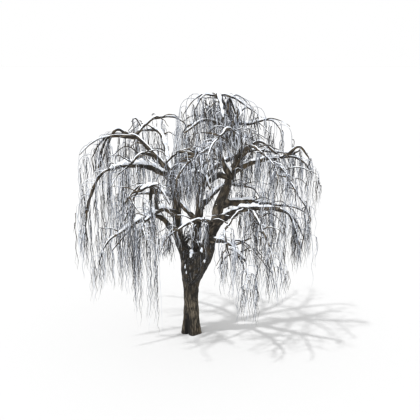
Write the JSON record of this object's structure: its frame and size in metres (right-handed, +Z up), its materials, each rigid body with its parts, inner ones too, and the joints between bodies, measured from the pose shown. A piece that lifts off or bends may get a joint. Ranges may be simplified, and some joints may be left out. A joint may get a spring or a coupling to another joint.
{
  "type": "weeping willow tree",
  "caption": "Mature weeping willow in winter: a stout forked trunk, arching boughs and long bare twigs hanging to near the ground, with snow on its limbs.",
  "frame": {"origin": "middle of the flat cut under the trunk, at ground level", "axes": "+Z up, +X to the right as the picture shows the tree, +Y away from the picture's camera"},
  "size_m": [11.8093, 11.0225, 11.8284],
  "materials": {
    "bark": "rough furrowed bark",
    "twigs": "frosted bare twigs",
    "snow": "settled snow"
  },
  "bodies": {
    "root": {"trunk": "bark", "left_stem": "bark", "leader": "bark", "middle_stem": "bark", "low_left": "bark", "left_elbow": "bark", "front_left": "bark", "front_hook": "bark", "low_right": "bark", "low_right_front": "bark", "low_front": "bark", "low_right_back": "bark", "foot_right": "bark", "low_back_left": "bark", "low_back_right": "bark", "mid_left": "bark", "inner_left": "bark", "mid_right": "bark", "right_drop": "bark", "front_arch": "bark", "back_left": "bark", "back": "bark", "back_right": "bark", "high_left": "bark", "high_back": "bark", "top_arch": "bark", "high_right": "bark", "front_high": "bark", "right_front": "bark", "snow_low_right": "snow", "snow_mid_left": "snow", "snow_low_left": "snow", "spray_left_stem": "twigs", "spray_leader": "twigs", "spray_middle_stem": "twigs", "spray_low_left": "twigs", "spray_left_elbow": "twigs", "spray_front_left": "twigs", "spray_front_hook": "twigs", "spray_low_right": "twigs", "spray_low_right_front": "twigs", "spray_low_front": "twigs", "spray_low_right_back": "twigs", "spray_foot_right": "twigs", "spray_low_back_left": "twigs", "spray_low_back_right": "twigs", "spray_mid_left": "twigs", "spray_inner_left": "twigs", "spray_mid_right": "twigs", "spray_right_drop": "twigs", "spray_front_arch": "twigs", "spray_back_left": "twigs", "spray_back": "twigs", "spray_back_right": "twigs", "spray_high_left": "twigs", "spray_high_back": "twigs", "spray_top_arch": "twigs", "spray_high_right": "twigs", "spray_front_high": "twigs", "spray_right_front": "twigs"}
  },
  "joints": []
}
